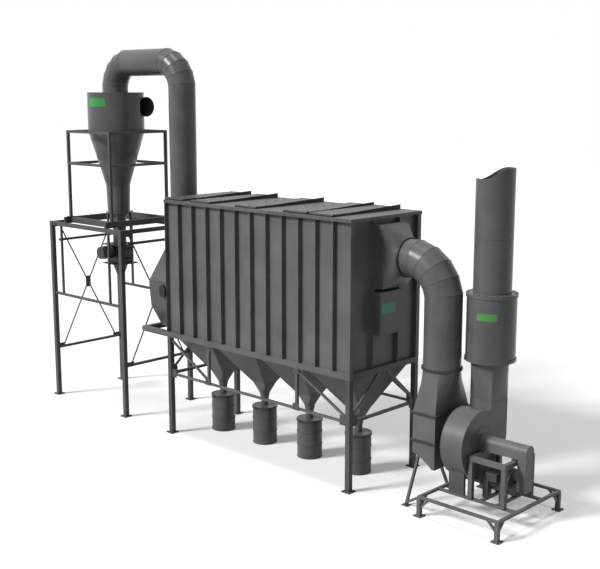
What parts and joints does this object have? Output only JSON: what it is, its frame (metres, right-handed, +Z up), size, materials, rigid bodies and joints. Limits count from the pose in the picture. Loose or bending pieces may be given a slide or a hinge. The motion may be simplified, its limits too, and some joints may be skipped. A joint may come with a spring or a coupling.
{
  "type": "baghouse dust collector",
  "caption": "Panelled filter body on legs over hoppers and drums, fed from a cyclone on a tower and drawn by a fan with a silencer and stack.",
  "frame": {"origin": "on the ground under the middle of the plant's bounding box", "axes": "+X runs along the plant from the cyclone tower to the fan, +Y to the far side, +Z up"},
  "size_m": [14.052, 2.32, 8.993],
  "materials": {
    "painted_sheet": "satin grey paint",
    "painted_duct": "satin grey paint",
    "painted_frame": "dark grey paint",
    "painted_drum": "dark grey paint, slightly glossy",
    "machine_dark": "nearly black machine paint",
    "port_black": "matte black"
  },
  "bodies": {
    "root": {"base_cross_beams": "painted_frame", "base_legs": "painted_frame", "base_long_beams": "painted_frame", "belt_guard": "painted_sheet", "body_braces": "painted_frame", "body_hangers": "painted_frame", "body_legs": "painted_frame", "body_struts": "painted_frame", "chest_band": "painted_sheet", "chest_bottom": "painted_sheet", "chest_port": "port_black", "chest_top": "painted_duct", "cradle_bars": "painted_frame", "cradle_brackets": "painted_frame", "cradle_posts": "painted_frame", "crossover_bends": "painted_duct", "crossover_pipes": "painted_duct", "cyclone_barrel": "painted_duct", "cyclone_cone": "painted_duct", "drop_pipe": "painted_duct", "drums": "painted_drum", "fan_discharge": "painted_duct", "fan_inlet_box": "painted_sheet", "fan_inlet_legs": "painted_frame", "fan_inlet_tie": "painted_frame", "fan_inlet_transition": "painted_duct", "fan_motor": "machine_dark", "fan_scroll": "painted_sheet", "hoppers": "painted_sheet", "inlet_end_wall": "painted_sheet", "outlet_collar": "painted_duct", "outlet_elbow": "painted_duct", "outlet_end_wall": "painted_sheet", "outlet_transition": "painted_duct", "platform_cross_beams": "painted_frame", "platform_inner_beams": "painted_frame", "rails_cross": "painted_frame", "rails_long": "painted_frame", "roof": "painted_sheet", "roof_lids": "painted_sheet", "rotary_valve": "machine_dark", "scroll_feet": "painted_frame", "shaft_and_bearings": "machine_dark", "shaft_guard": "painted_sheet", "side_walls": "painted_sheet", "silencer": "painted_duct", "spout_stays": "painted_frame", "stack": "painted_duct", "stand_posts": "painted_frame", "stand_top": "painted_frame", "tower_beams": "painted_frame", "tower_hangers": "painted_frame", "tower_legs": "painted_frame", "tower_rod_plates": "painted_frame", "tower_rods": "painted_frame", "valve_chute": "painted_sheet", "valve_motor": "machine_dark", "wall_cabinet": "painted_sheet"}
  },
  "joints": []
}
